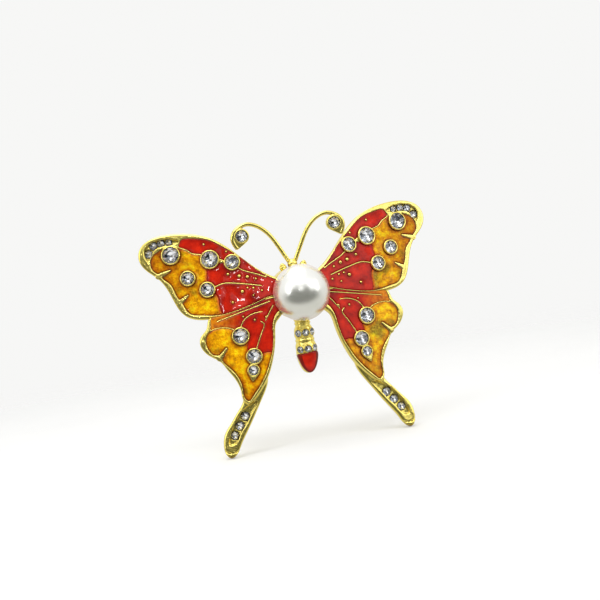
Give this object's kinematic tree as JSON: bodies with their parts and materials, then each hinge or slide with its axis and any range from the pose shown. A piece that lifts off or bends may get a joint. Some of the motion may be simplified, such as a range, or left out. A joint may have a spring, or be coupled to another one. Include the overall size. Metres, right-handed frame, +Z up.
{
  "type": "brooch",
  "caption": "Swallowtail butterfly brooch: red and amber enamel wings on gold-plated castings, a bead pearl thorax, set rhinestones and a safety pin back.",
  "frame": {"origin": "middle of the pin stem, on its axis, midway between the hinge and the catch", "axes": "+Z up as worn, +X towards the brooch's hinge end, -Y the way the front faces"},
  "size_m": [0.053, 0.0153, 0.0404],
  "materials": {
    "gold_plate": "polished",
    "red_enamel": "glossy",
    "amber_enamel": "glossy, translucent over foil",
    "rhinestone": "faceted, foil backed",
    "pearl_coat": "pearl lustre",
    "pin_steel": "plated steel, polished"
  },
  "bodies": {
    "brooch": {"left_forewing": "gold_plate", "left_costal_enamel": "red_enamel", "left_basal_enamel": "red_enamel", "left_forewing_amber": "amber_enamel", "left_forewing_stones": "rhinestone", "left_tip_stones": "rhinestone", "left_hindwing": "gold_plate", "left_hindwing_red": "red_enamel", "left_hindwing_amber": "amber_enamel", "left_hindwing_stones": "rhinestone", "left_tail_stones": "rhinestone", "left_antenna": "gold_plate", "left_antenna_stone": "rhinestone", "right_forewing": "gold_plate", "right_costal_enamel": "red_enamel", "right_basal_enamel": "red_enamel", "right_forewing_amber": "amber_enamel", "right_forewing_stones": "rhinestone", "right_tip_stones": "rhinestone", "right_hindwing": "gold_plate", "right_hindwing_red": "red_enamel", "right_hindwing_amber": "amber_enamel", "right_hindwing_stones": "rhinestone", "right_tail_stones": "rhinestone", "right_antenna": "gold_plate", "right_antenna_stone": "rhinestone", "body_casting": "gold_plate", "pearl": "pearl_coat", "pearl_peg": "gold_plate", "eye_beads": "gold_plate", "abdomen_enamel": "red_enamel", "abdomen_stones": "rhinestone", "pin_bar": "gold_plate", "hinge_block": "gold_plate", "hinge_rivet": "pin_steel", "catch_block": "gold_plate"},
    "pin": {"pin_stem": "pin_steel"},
    "collar": {"catch_collar": "gold_plate"}
  },
  "joints": [
    {"name": "pin_swing", "type": "hinge", "parent": "brooch", "child": "pin", "pos_m": [0.011, 0, 0], "axis": [0, 0, -1], "range_deg": [0, 100]},
    {"name": "collar_turn", "type": "hinge", "parent": "brooch", "child": "collar", "pos_m": [-0.0109, 0, 0], "axis": [-1, 0, 0], "range_deg": [0, 110]}
  ]
}
